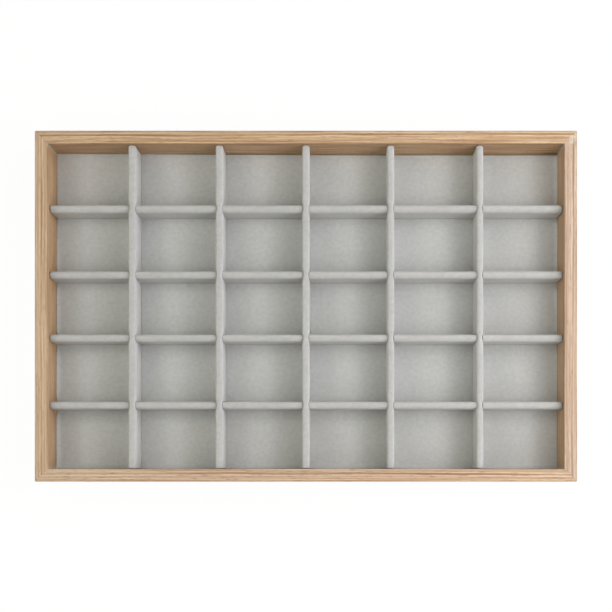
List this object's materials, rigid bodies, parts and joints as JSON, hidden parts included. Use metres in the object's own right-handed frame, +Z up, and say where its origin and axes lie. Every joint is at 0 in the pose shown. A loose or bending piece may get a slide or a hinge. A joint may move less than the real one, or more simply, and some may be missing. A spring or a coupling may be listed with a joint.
{
  "type": "jewelry display tray",
  "caption": "Open rectangular wooden tray with mitred corners, lined in suede and divided into rectangular compartments by a lift-out grid of padded dividers.",
  "frame": {"origin": "on the surface that the tray stands on, under the middle of the tray", "axes": "+X to the right along the long side, +Y from front to back, +Z up out of the open top"},
  "size_m": [0.34, 0.22, 0.035],
  "materials": {
    "oak": "clear matt lacquer",
    "beech": "bare",
    "bottom_board": "bare fibreboard",
    "divider_board": "bare fibreboard",
    "card": "bare",
    "suede": "napped",
    "felt": "felted"
  },
  "bodies": {
    "tray": {"rail_front": "oak", "rail_right": "oak", "rail_back": "oak", "rail_left": "oak", "corner_key_front_left": "beech", "corner_key_front_right": "beech", "corner_key_back_right": "beech", "corner_key_back_left": "beech", "bottom_board": "bottom_board", "foot_pad_front_left": "felt", "foot_pad_front_right": "felt", "foot_pad_back_right": "felt", "foot_pad_back_left": "felt", "floor_card": "card", "floor_lining": "suede"},
    "divider_grid": {"column_1_board": "divider_board", "column_1_cover": "suede", "column_2_board": "divider_board", "column_2_cover": "suede", "column_3_board": "divider_board", "column_3_cover": "suede", "column_4_board": "divider_board", "column_4_cover": "suede", "column_5_board": "divider_board", "column_5_cover": "suede", "row_1_board": "divider_board", "row_1_cover": "suede", "row_2_board": "divider_board", "row_2_cover": "suede", "row_3_board": "divider_board", "row_3_cover": "suede", "row_4_board": "divider_board", "row_4_cover": "suede"}
  },
  "joints": [
    {"name": "grid_lift", "type": "slide", "parent": "tray", "child": "divider_grid", "axis": [0, 0, 1], "range_m": [0, 0.04]}
  ]
}
